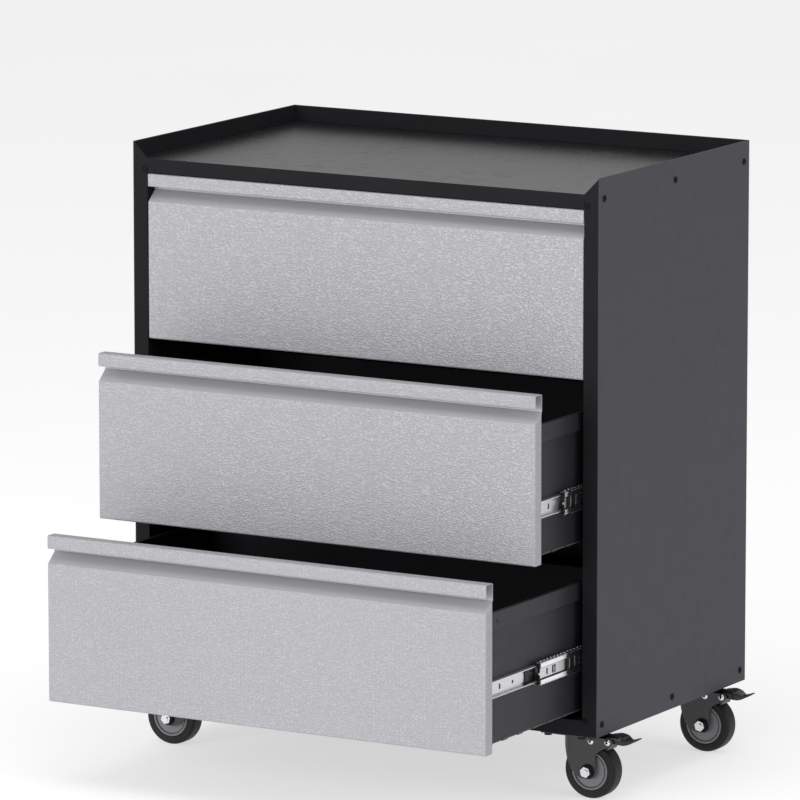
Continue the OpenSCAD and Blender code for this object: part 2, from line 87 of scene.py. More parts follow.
class Paint:  # one procedural finish, patterned in the object's own space
    def __init__(self, name, settings):
        self.material = bpy.data.materials.new(name)
        self.material.use_nodes = True
        self.tree = self.material.node_tree
        self.shader = self.tree.nodes["Principled BSDF"]
        for socket, value in settings.items():
            self.shader.inputs[socket].default_value = value
        self.space = self.node("TexCoord", output="Object")

    def node(self, kind, settings={}, inputs={}, output=0):
        made = self.tree.nodes.new("ShaderNode" + kind)
        for key, value in settings.items():
            setattr(made, key, value)
        for key, value in inputs.items():
            if isinstance(value, Wire):
                self.tree.links.new(value.socket, made.inputs[key])
            else:
                made.inputs[key].default_value = value
        return Wire(self, made.outputs[output])

    def feed(self, socket, wire):
        self.tree.links.new(wire.socket, self.shader.inputs[socket])

    def stretched(self, stretch):
        return self.node("Mapping", {}, {"Vector": self.space, "Scale": stretch})

    def noise(self, scale, detail=3, stretch=(1, 1, 1)):
        values = {"Vector": self.stretched(stretch), "Scale": scale, "Detail": detail}
        return self.node("TexNoise", {}, values)

    def cells(self, scale):
        return self.node("TexVoronoi", {"feature": "F1"}, {"Vector": self.space, "Scale": scale})

    def window(self, wire, low, high):  # 0 below low, 1 above high
        values = {"Value": wire, "From Min": low, "From Max": high}
        return self.node("MapRange", {}, values)

    def colour(self, tone, middle, spread):  # a darker to a lighter shade of one colour
        dark, light = [[c * (1 + way * spread) for c in middle] for way in (-1, 1)]
        values = {0: tone, 6: (*dark, 1), 7: (*light, 1)}
        self.feed("Base Color", self.node("Mix", {"data_type": "RGBA"}, values, output=2))

    def relief(self, height, depth):
        values = {"Height": height, "Distance": depth, "Strength": 1}
        self.feed("Normal", self.node("Bump", {}, values))


coat = dict(speckScale=2600, driftScale=9, dustScale=55, dustFrom=0.72, dustTo=1.05)


def powderCoat(name, look):
    paint = Paint(name, {"Metallic": look.get("metal", 0), "Specular IOR Level": look["shine"]})
    peel = paint.noise(1 / look["peelSize"], 2)
    speck = paint.noise(coat["speckScale"], 2)
    drift = paint.noise(coat["driftScale"], 2)
    cloud = paint.noise(coat["dustScale"], 5) + drift * 0.4
    dust = paint.window(cloud, coat["dustFrom"], coat["dustTo"])
    tone = paint.window(speck * 0.55 + drift * 0.45, 0.3, 0.7)
    paint.colour(tone, look["color"], look["spread"])
    paint.feed("Roughness", look["rough"] + dust * 0.08 + (speck - 0.5) * 0.12)
    paint.relief(peel * 0.75 + speck * 0.25, look["peelDepth"])
    return paint.material


leather = dict(crossScale=1.7, fineScale=4, driftScale=7, creaseWidth=0.11, knotWidth=0.14)


def leatherGrain(name, look):
    paint = Paint(name, {"Metallic": look["metal"], "Specular IOR Level": look["shine"]})
    wave = paint.noise(look["scale"], 2, look["stretch"])
    cross = paint.noise(look["scale"] * leather["crossScale"], 2, look["stretch"])
    fine = paint.noise(look["scale"] * leather["fineScale"], 2)
    drift = paint.noise(leather["driftScale"], 2)
    creases = paint.window(abs(wave - 0.5), 0, leather["creaseWidth"])
    knots = paint.window(abs(cross - 0.5), 0, leather["knotWidth"])
    height = creases * 0.6 + knots * 0.35 + fine * 0.15
    tone = paint.window(height * 0.9 + drift * 0.12, 0.2, 1)
    paint.colour(tone, look["color"], look["spread"])
    paint.feed("Roughness", look["rough"] + (fine - 0.5) * 0.2 - creases * 0.06)
    paint.relief(height, look["depth"])
    return paint.material


zinc = dict(drawnScale=950, spangleScale=170, hazeScale=28, depth=0.02 * mm)


def zincPlate(name, look):
    paint = Paint(name, {"Metallic": look["metal"], "Specular IOR Level": 0.5})
    drawn = paint.noise(zinc["drawnScale"], 3, look["stretch"])
    spangle = paint.cells(zinc["spangleScale"])
    haze = paint.noise(zinc["hazeScale"], 4)
    tone = paint.window(drawn * 0.5 + haze * 0.3 + spangle * 0.2, 0.25, 0.7)
    paint.colour(tone, look["color"], look["spread"])
    paint.feed("Roughness", look["rough"] + haze * 0.1 + drawn * 0.06)
    paint.relief(drawn, zinc["depth"])
    return paint.material


plastic = dict(cloudScale=35, scuffScale=140, scuffFrom=0.58, scuffTo=0.75)


def moulded(name, look):
    paint = Paint(name, {"Specular IOR Level": look["shine"]})
    spark = paint.noise(1 / look["grain"], 3)
    cloud = paint.noise(plastic["cloudScale"], 3)
    scuff = paint.noise(plastic["scuffScale"], 4)
    scuff = paint.window(scuff, plastic["scuffFrom"], plastic["scuffTo"])
    tone = paint.window(spark * 0.5 + cloud * 0.5, 0.3, 0.7)
    paint.colour(tone, look["color"], look["spread"])
    paint.feed("Roughness", look["rough"] + scuff * 0.1 + (spark - 0.5) * 0.12)
    paint.relief(spark, look["depth"])
    return paint.material


# each finish: its colour, how far its shades spread, and the size of its texture
looks = {
    "front_paint": dict(color=(0.4, 0.395, 0.42), spread=0.11, metal=0.3, rough=0.5, shine=0.4,
                        scale=245, stretch=(0.7, 1, 1.35), depth=0.45 * mm),
    "front_smooth": dict(color=(0.42, 0.415, 0.44), spread=0.02, metal=0.3, rough=0.5, shine=0.4,
                         peelSize=1.2 * mm, peelDepth=0.01 * mm),
    "side_paint": dict(color=(0.0435, 0.042, 0.052), spread=0.06, rough=0.5, shine=0.25,
                       peelSize=1.1 * mm, peelDepth=0.02 * mm),
    "frame_paint": dict(color=(0.0165, 0.016, 0.0185), spread=0.15, rough=0.55, shine=0.03,
                        peelSize=1.3 * mm, peelDepth=0.02 * mm),
    "worktop_paint": dict(color=(0.013, 0.013, 0.0145), spread=0.15, rough=0.24, shine=0.48,
                          peelSize=1.6 * mm, peelDepth=0.02 * mm),
    "drawer_paint": dict(color=(0.022, 0.0215, 0.026), spread=0.12, rough=0.45, shine=0.25,
                         peelSize=1.2 * mm, peelDepth=0.02 * mm),
    # lighter grey for the beads under the drawer sides: a painted highlight where their rounded edge catches the
    # light
    "edge_highlight_paint": dict(color=(0.1, 0.1, 0.105), spread=0.2, rough=0.35, shine=0.5,
                      peelSize=0.8 * mm, peelDepth=0.02 * mm),
    "fork_paint": dict(color=(0.035, 0.0345, 0.038), spread=0.14, rough=0.24, shine=0.45,
                       peelSize=1.4 * mm, peelDepth=0.03 * mm),
    "pedal_paint": dict(color=(0.008, 0.008, 0.009), spread=0.2, rough=0.18, shine=0.45,
                        peelSize=1.2 * mm, peelDepth=0.03 * mm),
    "screw_black": dict(color=(0.006, 0.006, 0.007), spread=0.2, rough=0.4, shine=0.1,
                        peelSize=0.5 * mm, peelDepth=0.01 * mm),
    "slide_zinc": dict(color=(0.64, 0.64, 0.665), spread=0.1, metal=0.8, rough=0.24,
                       stretch=(1, 0.04, 1)),
    "bolt_zinc": dict(color=(0.8, 0.8, 0.82), spread=0.08, metal=1, rough=0.1,
                      stretch=(1, 1, 0.3)),
    "hub_plastic": dict(color=(0.17, 0.168, 0.178), spread=0.1, rough=0.45, shine=0.45,
                        grain=0.5 * mm, depth=0.03 * mm),
    "tyre_rubber": dict(color=(0.0095, 0.0095, 0.011), spread=0.16, rough=0.5, shine=0.25,
                        grain=0.7 * mm, depth=0.03 * mm),
    "lever_plastic": dict(color=(0.007, 0.007, 0.008), spread=0.15, rough=0.35, shine=0.25,
                          grain=0.4 * mm, depth=0.02 * mm),
}
makers = {"front_paint": leatherGrain, "slide_zinc": zincPlate, "bolt_zinc": zincPlate,
          "hub_plastic": moulded, "tyre_rubber": moulded, "lever_plastic": moulded}
paints = {name: makers.get(name, powderCoat)(name, look) for name, look in looks.items()}
print("finishes made:", len(paints))


mergeWithin = 0.002 * mm
flatWithin = math.radians(0.3)


def cleanCopy(nodeName):  # the node's triangles merged back into whole faces
    bm = bmesh.new()
    bm.from_mesh(nodes[nodeName].data)
    bmesh.ops.remove_doubles(bm, verts=bm.verts, dist=mergeWithin)
    bmesh.ops.dissolve_limit(bm, angle_limit=flatWithin, verts=bm.verts, edges=bm.edges)
    return bm


def roundEdges(bm, radius, segments=2, fromAngle=28):
    limit = math.radians(fromAngle)
    chosen = [e for e in bm.edges if e.is_manifold and e.calc_face_angle(0) > limit]
    bmesh.ops.bevel(bm, geom=chosen, offset=radius, offset_type="OFFSET", segments=segments,
                    profile=0.5, affect="EDGES", clamp_overlap=True, material=-1)


def addPiece(name, bm, body, paint, replaces=(), sharpFrom=40):
    mesh = bpy.data.meshes.new(name)
    bm.to_mesh(mesh)
    bm.free()
    mesh.materials.append(paints[paint])
    mesh.shade_smooth()
    mesh.set_sharp_from_angle(angle=math.radians(sharpFrom))
    piece = bpy.data.objects.new(name, mesh)
    bpy.context.scene.collection.objects.link(piece)
    even = piece.modifiers.new("even_normals", "WEIGHTED_NORMAL")
    even.keep_sharp = True
    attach(piece, body)
    if replaces:
        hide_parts(*replaces)
    return piece


def thicken(piece, sheet, edge):  # an open shell becomes sheet metal with eased rims
    shell = piece.modifiers.new("sheet", "SOLIDIFY")
    shell.thickness = sheet * mm
    shell.offset = -1
    shell.use_even_offset = False
    rim = piece.modifiers.new("rim", "BEVEL")
    rim.width = edge * mm
    rim.segments = 2
    rim.limit_method = "ANGLE"
    rim.angle_limit = math.radians(60)
    last = len(piece.modifiers) - 1
    piece.modifiers.move(piece.modifiers.find("even_normals"), last)


slotOf = {part["node"]: part["material_slot"] for part in frame["record"]["subparts"]}
bodyOf = {}
for body, members in frame["record"]["behaviour"]["bodies"].items():
    bodyOf.update({member: body for member in members})


def finishNode(nodeName, radius, segments=2):  # the CAD shape with its edges eased
    bm = cleanCopy(nodeName)
    roundEdges(bm, radius, segments)
    slot = slotOf[nodeName]
    addPiece(nodeName + "_finished", bm, bodyOf[nodeName], slot, [nodeName])


def addBox(bm, low, high):
    low, high = Vector(low), Vector(high)
    place = Matrix.Translation((low + high) / 2) @ Matrix.Diagonal((*(high - low), 1))
    bmesh.ops.create_cube(bm, size=1, matrix=place)


def extrudeFace(bm, corners, by):  # a flat outline pulled out into a closed block
    face = bm.faces.new([bm.verts.new(corner) for corner in corners])
    grown = bmesh.ops.extrude_face_region(bm, geom=[face])["geom"]
    far = [v for v in grown if isinstance(v, bmesh.types.BMVert)]
    bmesh.ops.translate(bm, verts=far, vec=by)


def spinProfile(bm, points, centre, axis, steps):  # points are (radius, along the axis)
    axis = Vector(axis)
    out = axis.orthogonal().normalized()
    ring = [bm.verts.new(centre + out * r + axis * a) for r, a in points]
    edges = [bm.edges.new((ring[i], ring[(i + 1) % len(ring)])) for i in range(len(ring))]
    bmesh.ops.spin(bm, geom=ring + edges, cent=centre, axis=axis, angle=2 * math.pi,
                   steps=steps, use_merge=True)
    bmesh.ops.recalc_face_normals(bm, faces=bm.faces)


def spinRing(bm, ring, centre, axis, steps):  # the same, from points in millimetres
    spinProfile(bm, [(r * mm, a * mm) for r, a in ring], centre, axis, steps)


def arc(centre, radius, start, end, steps):
    angles = [math.radians(start + (end - start) * i / steps) for i in range(steps + 1)]
    return [(centre[0] + radius * math.cos(a), centre[1] + radius * math.sin(a)) for a in angles]


# cabinet
cabinetEdges = {
    "left_side_panel": 0.3, "right_side_panel": 0.3, "back_panel": 0.3, "worktop": 0.4,
    "base_pan": 0.4, "left_front_upright": 0.4, "right_front_upright": 0.4,
    "left_rear_upright": 0.4, "right_rear_upright": 0.4, "panel_screws": 0.25,
    "caster_plates": 0.5, "caster_bolts": 0.4,
}
for nodeName, radius in cabinetEdges.items():
    finishNode(nodeName, radius * mm)
top = bpy.data.objects["worktop_finished"].data
top.materials.append(paints["frame_paint"])  # its apron matches the uprights
for face in top.polygons:
    face.material_index = int(face.normal.z < 0.7)
upstand = dict(sheet=0.8, below=0.4, sideHem=2.25, frontGap=3, floorGap=0.1, bend=0.25)


def trayUpstand():  # black liner round the inside of the tray's walls
    low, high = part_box("right_side_panel")
    x, back = high.x - upstand["sideHem"] * mm, high.y - upstand["sideHem"] * mm
    start = low.y + upstand["frontGap"] * mm
    t = upstand["sheet"] * mm
    rim = high.z - upstand["below"] * mm
    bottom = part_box("worktop")[1].z + upstand["floorGap"] * mm
    line = [(-x, start), (-x, back), (x, back), (x, start),
            (x - t, start), (x - t, back - t), (t - x, back - t), (t - x, start)]
    bm = bmesh.new()
    extrudeFace(bm, [(a, b, bottom) for a, b in line], (0, 0, rim - bottom))
    bmesh.ops.recalc_face_normals(bm, faces=bm.faces)
    roundEdges(bm, upstand["bend"] * mm)
    addPiece("tray_upstand", bm, "cabinet", "frame_paint")


trayUpstand()
print("cabinet finished")

# drawers
front = dict(lip=17.8, hem=4, depth=18, slope=23, faceDrop=37.7, bend=2.5, sheet=1.0, corner=1.4,
             ease=0.8, hemEase=0.5, rim=0.25, smoothFrom=3, smoothTo=37, smoothBehind=5)


def frontProfile(height):  # the sheet's visible side: depth back, drop from the lip's top, in mm
    bend, t, ease, hemEase = (front[key] for key in ("bend", "sheet", "ease", "hemEase"))
    lipEnd, wall = t - front["lip"], front["depth"] - t
    slope, drop = front["slope"], front["faceDrop"]
    line = [(front["hem"], lipEnd), (t + hemEase, lipEnd), (t, lipEnd + hemEase)]
    line += arc((bend, -bend), bend - t, 180, 90, 6)
    line += [(wall - ease, -t), (wall, -t - ease)]
    line += [(wall, ease - slope), (wall - ease, -0.4 - slope)]
    line += [(0.9, 0.7 - drop), (0.2, -0.1 - drop), (0, -0.9 - drop)]
    line += arc((bend, bend - height), bend, 180, 270, 6)
    return line + [(wall, -height)]


def pressedFront(name):
    low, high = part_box(name + "_drawer_front")
    line = frontProfile((high.z - low.z) / mm)
    bm = bmesh.new()
    chain = [bm.verts.new((low.x, low.y + y * mm, high.z + z * mm)) for y, z in line]
    edges = [bm.edges.new(pair) for pair in zip(chain, chain[1:])]
    wide = bmesh.ops.extrude_edge_only(bm, edges=edges)
    far = [v for v in wide["geom"] if isinstance(v, bmesh.types.BMVert)]
    bmesh.ops.translate(bm, verts=far, vec=(high.x - low.x, 0, 0))
    slopeTop = low.y + (front["depth"] - front["ease"]) * mm
    middle = (low.z + high.z) / 2
    for x in (low.x, high.x):  # side returns below the slope
        rim = [v for v in bm.verts if abs(v.co.x - x) < 1e-7]
        rim = [v for v in rim if v.co.z < high.z - (front["slope"] + 0.3) * mm]
        rim.sort(key=lambda v: -math.atan2(v.co.z - middle, slopeTop - v.co.y))
        bm.faces.new(rim)
    bmesh.ops.recalc_face_normals(bm, faces=bm.faces)
    bm.normal_update()
    corners = [e for e in bm.edges if len(e.link_faces) == 2
               and sum(abs(f.normal.x) > 0.9 for f in e.link_faces) == 1]
    bmesh.ops.bevel(bm, geom=corners, offset=front["corner"] * mm, offset_type="OFFSET",
                    segments=4, profile=0.5, affect="EDGES", clamp_overlap=True, material=-1)
    bmesh.ops.recalc_face_normals(bm, faces=bm.faces)
    bm.normal_update()
    face = max(bm.faces, key=lambda f: f.calc_area() * (abs(f.normal.y) > 0.9))
    if face.normal.y > 0:
        bmesh.ops.reverse_faces(bm, faces=bm.faces)
        bm.normal_update()
    for f in bm.faces:  # the slope and the wall behind the lip are smooth
        centre = f.calc_center_median()
        drop = (high.z - centre.z) / mm
        f.material_index = int(abs(f.normal.x) < 0.5
                               and centre.y > low.y + front["smoothBehind"] * mm
                               and front["smoothFrom"] < drop < front["smoothTo"])
    piece = addPiece(name + "_drawer_front_pressed", bm, name + "_drawer", "front_paint",
                     [name + "_drawer_front"])
    piece.data.materials.append(paints["front_smooth"])
    thicken(piece, front["sheet"], front["rim"])


liner = dict(gap=0.05, sheet=1, inset=1, above=4.5, below=24, bend=0.3)


def frontLiner(name):  # inner skin between the drawer's sides
    low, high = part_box(name + "_drawer_front")
    floorLow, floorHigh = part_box(name + "_drawer_floor")
    bm = bmesh.new()
    back = low.y + (front["depth"] + liner["gap"]) * mm
    inset = liner["inset"] * mm
    addBox(bm, (floorLow.x + inset, back, floorLow.z + liner["above"] * mm),
           (floorHigh.x - inset, back + liner["sheet"] * mm, high.z - liner["below"] * mm))
    roundEdges(bm, liner["bend"] * mm)
    addPiece(name + "_drawer_front_liner", bm, name + "_drawer", "drawer_paint")


def rivet(bm, centre, out, radius, height):  # a domed head, its foot sunk in the sheet
    turn = Vector(out).to_track_quat("Z", "Y").to_matrix().to_4x4()
    tip, foot = 0.001 * mm, -0.3 * mm
    dome = [(tip, height), (radius * 0.5, height * 0.93), (radius * 0.85, height * 0.6),
            (radius, height * 0.15), (radius, foot), (tip, foot)]
    made = bmesh.new()
    spinProfile(made, dome, Vector(), (0, 0, 1), 20)
    made.transform(Matrix.Translation(centre) @ turn)
    mesh = bpy.data.meshes.new("dome")
    made.to_mesh(mesh)
    made.free()
    bm.from_mesh(mesh)
    bpy.data.meshes.remove(mesh)


boxRivets = dict(behind=25, drop=12, radius=2.2, height=0.9, rear=350)


def sideRivets(name):
    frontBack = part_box(name + "_drawer_front")[1].y
    bm = bmesh.new()
    for side, sign in sides.items():
        sideLow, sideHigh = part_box(f"{name}_drawer_{side}_side")
        x = sideHigh.x if sign > 0 else sideLow.x
        for behind in (boxRivets["behind"], boxRivets["rear"]):
            spot = Vector((x, frontBack + behind * mm, sideHigh.z - boxRivets["drop"] * mm))
            rivet(bm, spot, (sign, 0, 0), boxRivets["radius"] * mm, boxRivets["height"] * mm)
    addPiece(name + "_drawer_rivets", bm, name + "_drawer", "drawer_paint")


edgeBead = dict(pitch=40, first=9, gap=5, radius=0.9, length=360, inset=0.2, below=0.6, ease=0.3)


def beadedEdge(name):  # folded edge under each side, broken at the clinch tabs; its lighter grey is a painted highlight on the rounded edge
    floorLow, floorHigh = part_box(name + "_drawer_floor")
    length = (edgeBead["pitch"] - edgeBead["gap"]) * mm
    radius = edgeBead["radius"] * mm
    bm = bmesh.new()
    for side, sign in sides.items():
        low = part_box(f"{name}_drawer_{side}_side")[0]
        x = (floorHigh.x if sign > 0 else floorLow.x) - sign * edgeBead["inset"] * mm
        for start in range(edgeBead["first"], edgeBead["length"], edgeBead["pitch"]):
            y = low.y + start * mm + length / 2
            spot = Vector((x, y, low.z - edgeBead["below"] * mm))
            place = Matrix.Translation(spot) @ Matrix.Rotation(math.radians(90), 4, "X")
            bmesh.ops.create_cone(bm, cap_ends=True, segments=14, radius1=radius,
                                  radius2=radius, depth=length, matrix=place)
    roundEdges(bm, edgeBead["ease"] * mm, 2, 60)
    addPiece(name + "_drawer_edge_bead", bm, name + "_drawer", "edge_highlight_paint")


boxEdge = 0.35 * mm
for name in drawers:
    pressedFront(name)
    beadedEdge(name)
    frontLiner(name)
    sideRivets(name)
    for part in ("left_side", "right_side", "floor"):
        finishNode(f"{name}_drawer_{part}", boxEdge)
print("drawers finished")

# slides
lever = dict(start=96, length=31, height=18.4, thick=1.5, web=1.2, gap=0.15, bite=5, bend=0.35,
             rim=1.5, rimInset=0.8, rimFrom=4, rimTo=27, rimReach=5.6)


def releaseLever(name, side, sign):  # black catch that lies in the runner
    low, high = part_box(f"{name}_{side}_slide_runner")
    inner = low.x if sign > 0 else high.x
    z = (low.z + high.z) / 2
    h, y = lever["height"] / 2, low.y / mm + lever["start"]
    line = [(y, h), (y + lever["length"], h), (y + lever["length"], -h), (y, -h)]
    for degrees in (-60, -30, 0, 30, 60):  # the finger bite in its front end
        a = math.radians(degrees)
        line.append((y + lever["bite"] * math.cos(a), h * math.sin(a)))
    bm = bmesh.new()
    x = inner + sign * (lever["web"] + lever["gap"]) * mm
    extrudeFace(bm, [(x, a * mm, z + b * mm) for a, b in line], (sign * lever["thick"] * mm, 0, 0))
    half = lever["rim"] / 2 * mm
    for up in (-1, 1):  # folded rims that spring against the runner's flanges
        edge = z + up * (h - lever["rimInset"]) * mm
        x0, x1 = sorted((x, inner + sign * lever["rimReach"] * mm))
        addBox(bm, (x0, (y + lever["rimFrom"]) * mm, edge - half),
               (x1, (y + lever["rimTo"]) * mm, edge + half))
    bmesh.ops.recalc_face_normals(bm, faces=bm.faces)
    roundEdges(bm, lever["bend"] * mm)
    addPiece(f"{name}_{side}_release_lever", bm, name + "_drawer", "lever_plastic")


balls = dict(radius=1.1, pitch=9, count=18, start=6)
ballTracks = ((1.6, 12.15), (4.2, 15.65))  # (out from the carrier's web, off the slide's middle)


def ballRows(name, side, sign):
    low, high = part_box(f"{name}_{side}_slide_carrier")
    z = (low.z + high.z) / 2
    web = low.x if sign > 0 else high.x
    bm = bmesh.new()
    for up in (-1, 1):
        for out, row in ballTracks:
            for i in range(balls["count"]):
                y = low.y + (balls["start"] + i * balls["pitch"]) * mm
                spot = (web + sign * out * mm, y, z + up * row * mm)
                bmesh.ops.create_icosphere(bm, subdivisions=2, radius=balls["radius"] * mm,
                                           matrix=Matrix.Translation(spot))
    addPiece(f"{name}_{side}_slide_balls", bm, f"{name}_{side}_carrier", "bolt_zinc")


retainer = dict(latch=(36, 44.5), reach=57, ahead=8, shortest=34, window=9, bridge=5, webGap=3,
                bend=0.3, rib=0.35, slot=(6.5, 9))
# each strip runs along the slide: out from the drawer's side, then off the slide's middle
strips = {
    "inner": ((8.25, 9.2), (7.0, 8.1)), "track": ((8.15, 11.1), (8.2, 14.3)),
    "bumper": ((6.7, 10.8), (6.5, 13.6)), "bumperLip": ((2.2, 6.8), (11.3, 13.6)),
    "prong": ((3.2, 5.4), (11.25, 12.9)), "bumperFoot": ((7.2, 10.2), (1.6, 6.9)),
    "latch": ((8.22, 8.9), (-5, 5)), "latchRib": ((8.6, 9.15), (-4, 4)),
    "cage": ((11.15, 11.7), (8.0, 14.4)), "cageTrack": ((9.0, 10.9), (15.0, 16.4)),
    "cageHook": ((9.5, 11.7), (14.35, 16.5)), "bridge": ((8.5, 11.4), (-8.1, 8.1)),
    "bridgeSlot": ((9.2, 10.9), (-6.5, 6.5)),
}


def ballRetainers(name, side, sign):  # black strips in the carrier, bumper and front cage
    low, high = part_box(f"{name}_{side}_slide_carrier")
    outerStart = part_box(f"{name}_{side}_slide_outer")[0].y
    z = (low.z + high.z) / 2
    drawerSide = (low.x if sign > 0 else high.x) - sign * retainer["webGap"] * mm

    def strip(bm, kind, y0, y1, up=1):
        out, rows = strips[kind]
        x0, x1 = sorted(drawerSide + sign * u * mm for u in out)
        z0, z1 = sorted(z + up * row * mm for row in rows)
        addBox(bm, (x0, y0, z0), (x1, y1, z1))

    black, bright = bmesh.new(), bmesh.new()
    nose = low.y
    for up in (-1, 1):
        strip(black, "inner", nose + 2 * mm, high.y - 2 * mm, up)
        strip(bright, "track", nose + 0.4 * mm, high.y - 0.4 * mm, up)
        strip(black, "bumper", nose - 3.5 * mm, nose - 0.1 * mm, up)
        strip(black, "bumperLip", nose - 3.5 * mm, nose - 0.1 * mm, up)
        strip(bright, "prong", nose - 8 * mm, nose + 2 * mm, up)
        strip(black, "bumperFoot", nose - 2.4 * mm, nose - 0.2 * mm, up)
    for end, way in ((low.y, 1), (high.y, -1)):  # black latch grid in each carrier window
        y0, y1 = sorted(end + way * v * mm for v in retainer["latch"])
        strip(black, "latch", y0, y1)
        for share in (0.3, 0.7):
            y = y0 + (y1 - y0) * share
            strip(bright, "latchRib", y - retainer["rib"] * mm, y + retainer["rib"] * mm)
    start = max(low.y + retainer["ahead"] * mm, outerStart - retainer["reach"] * mm)
    end = max(outerStart - 2 * mm, start + retainer["shortest"] * mm)
    for up in (-1, 1):
        strip(black, "cage", start, end, up)
        strip(bright, "cageTrack", start + 2 * mm, end, up)
        strip(black, "cageHook", start + 1 * mm, start + 6 * mm, up)
    y = start
    while y < end - retainer["bridge"] * mm:
        strip(black, "bridge", y, y + retainer["bridge"] * mm)
        strip(bright, "bridgeSlot", y + retainer["slot"][0] * mm, y + retainer["slot"][1] * mm)
        y += (retainer["bridge"] + retainer["window"]) * mm
    for bm in (black, bright):
        roundEdges(bm, retainer["bend"] * mm)
    body = f"{name}_{side}_carrier"
    addPiece(f"{name}_{side}_retainer_black", black, body, "lever_plastic")
    addPiece(f"{name}_{side}_retainer_zinc", bright, body, "bolt_zinc")


slideEdge = 0.45 * mm
for name in drawers:
    for side, sign in sides.items():
        for member in ("outer", "carrier", "runner"):
            finishNode(f"{name}_{side}_slide_{member}", slideEdge, 3)
        releaseLever(name, side, sign)
        ballRows(name, side, sign)
        ballRetainers(name, side, sign)
print("slides finished")

uprightScrew = dict(behind=25, above=27, radius=4, height=2.2)


def uprightScrews():  # one round head above each slide
    bm = bmesh.new()
    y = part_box("worktop")[0].y + uprightScrew["behind"] * mm
    for name in drawers:
        for side, sign in sides.items():
            low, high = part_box(f"{name}_{side}_slide_outer")
            x = high.x if sign > 0 else low.x
            z = (low.z + high.z) / 2 + uprightScrew["above"] * mm
            rivet(bm, Vector((x, y, z)), (-sign, 0, 0), uprightScrew["radius"] * mm,
                  uprightScrew["height"] * mm)
    addPiece("upright_screws", bm, "cabinet", "screw_black")


uprightScrews()

# casters
tyre = dict(radius=38, half=12.5, shoulder=5.5, hub=26.8, groove=0.35)
hub = dict(ringOut=26.8, ringIn=23.5, half=12.5, boss=9, bore=4.05, bossHalf=14.2, dish=17)


def roundTyre(caster):
    low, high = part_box(caster + "_tyre")
    centre = (low + high) / 2
    r, w, s = tyre["radius"], tyre["half"], tyre["shoulder"]
    half = [(tyre["hub"], w - 1.4), (tyre["hub"] + 0.5, w - 0.5), (tyre["hub"] + 1.6, w)]
    half += [(r - s - 2.6, w - 0.1), (r - s - 2.2, w - 0.1 - tyre["groove"])]
    half += [(r - s - 1.6, w - 0.1)]
    half += arc((r - s, w - s), s, 88, 12, 9)
    half += [(r - 0.02, 1.0), (r, 0.35)]
    points = half + [(a, -b) for a, b in reversed(half)]
    bm = bmesh.new()
    spinRing(bm, points, centre, (0, 1, 0), 112)
    addPiece(caster + "_tyre_moulded", bm, bodyOf[caster + "_tyre"], "tyre_rubber",
             [caster + "_tyre"], 50)


def dishedHub(caster):
    low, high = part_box(caster + "_hub")
    centre = (low + high) / 2
    w, bossEnd, bore, boss = hub["half"], hub["bossHalf"], hub["bore"], hub["boss"]
    ringIn, ringOut = hub["ringIn"], hub["ringOut"]
    half = [(bore, bossEnd - 0.3), (bore + 0.3, bossEnd), (boss - 0.6, bossEnd)]
    half += [(boss, bossEnd - 0.6), (boss + 0.5, w - 1.9), (boss + 1.5, w - 2.3)]
    half += [(hub["dish"], w - 1.7), (ringIn - 1.9, w - 1.3), (ringIn - 1.6, w - 1.6)]
    half += [(ringIn - 1.3, w - 3.2), (ringIn - 0.5, w - 3.2), (ringIn, w - 0.7)]
    half += [(ringIn + 0.6, w - 0.1), (ringIn + 1.4, w), (ringOut - 0.9, w - 0.1)]
    half += [(ringOut - 0.1, w - 0.8), (ringOut - 0.1, 2)]
    points = half + [(a, -b) for a, b in reversed(half)]
    bm = bmesh.new()
    spinRing(bm, points, centre, (0, 1, 0), 96)
    addPiece(caster + "_hub_moulded", bm, bodyOf[caster + "_hub"], "hub_plastic",
             [caster + "_hub"], 50)


def curve(points, t):  # smooth line through points sorted by their first value
    i = max(0, min(len(points) - 2, sum(p[0] <= t for p in points) - 1))
    (x0, y0), (x1, y1) = points[i], points[i + 1]
    before, after = points[max(0, i - 1)], points[min(len(points) - 1, i + 2)]
    m0 = (y1 - before[1]) / (x1 - before[0]) * (x1 - x0)
    m1 = (after[1] - y0) / (after[0] - x0) * (x1 - x0)
    u = (t - x0) / (x1 - x0)
    return ((2 * u ** 3 - 3 * u ** 2 + 1) * y0 + (u ** 3 - 2 * u ** 2 + u) * m0
            + (3 * u ** 2 - 2 * u ** 3) * y1 + (u ** 3 - u ** 2) * m1)


pedal = dict(
    start=-3, length=44.0, half=13.5, sheet=1.8, barrel=5, bore=2.6, edge=0.3,
    flat=0.66, shoulder=0.86, tuck=2.4, crease=1.35, crown=0.35,
    top=[(-3, 8), (8, 9.3), (17.5, 7.6), (22, 5.2), (26, 4.1), (30, 4.5), (35, 6), (41.6, 8.2)],
    plan=[(-3, 1), (13, 1), (20, 0.9), (26, 0.6), (31, 0.4), (36, 0.3), (41.6, 0.16)],
    drop=[(-3, 9), (8, 10.6), (18, 9.6), (24, 6.6), (30, 4.2), (36, 2.8), (41.6, 0.9)],
    camTurn=20, camRadius=1.5, camGap=0.35, camRoot=3.2, camWide=25,
)


def jointOf(body):
    return next(j for j in frame["joints"] if j["child"] == body)


